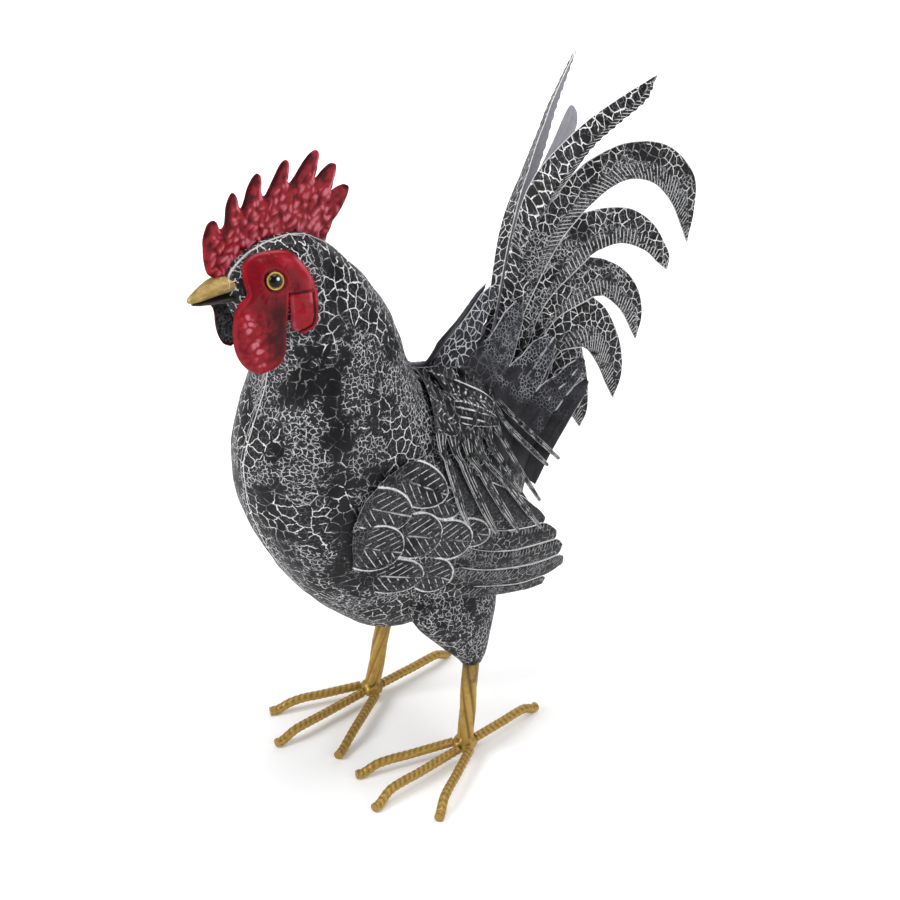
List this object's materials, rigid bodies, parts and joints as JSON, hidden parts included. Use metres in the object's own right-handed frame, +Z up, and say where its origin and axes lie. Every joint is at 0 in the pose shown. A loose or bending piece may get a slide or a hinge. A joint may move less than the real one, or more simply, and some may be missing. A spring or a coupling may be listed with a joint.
{
  "type": "rooster statue",
  "caption": "Standing rooster statue in painted sheet metal: egg-shaped body, jagged comb, hanging wattles, layered wings, finger-like saddle feathers, sickle tail and twisted-rod legs.",
  "frame": {"origin": "bottom centre of the bounding box, on the ground between the feet", "axes": "+Z up, -Y the way the bird faces, +X towards the bird's left side"},
  "size_m": [0.1466, 0.3028, 0.37],
  "materials": {
    "charcoal_crackle": "satin charcoal paint with a white crackle",
    "dark_sheet": "satin dark charcoal paint",
    "comb_red": "glossy deep red enamel",
    "gold_rod": "gold paint with darkened recesses",
    "gold_beak": "satin gold paint",
    "eye_gloss": "glossy black dome in a gold ring"
  },
  "bodies": {
    "root": {"body": "charcoal_crackle", "comb": "comb_red", "beak_upper": "gold_beak", "beak_lower": "gold_beak", "face_plate_left": "comb_red", "face_plate_right": "comb_red", "eye_left": "eye_gloss", "eye_right": "eye_gloss", "wing_left": "charcoal_crackle", "wing_right": "charcoal_crackle", "saddle_left": "charcoal_crackle", "saddle_right": "charcoal_crackle", "tail_covert_left": "dark_sheet", "tail_covert_right": "dark_sheet", "tail_plate_left": "charcoal_crackle", "tail_plate_right": "charcoal_crackle", "thigh_left": "charcoal_crackle", "thigh_right": "charcoal_crackle", "leg_left": "gold_rod", "toe_inner_left": "gold_rod", "toe_middle_left": "gold_rod", "toe_outer_left": "gold_rod", "toe_hind_left": "gold_rod", "leg_right": "gold_rod", "toe_inner_right": "gold_rod", "toe_middle_right": "gold_rod", "toe_outer_right": "gold_rod", "toe_hind_right": "gold_rod"}
  },
  "joints": []
}
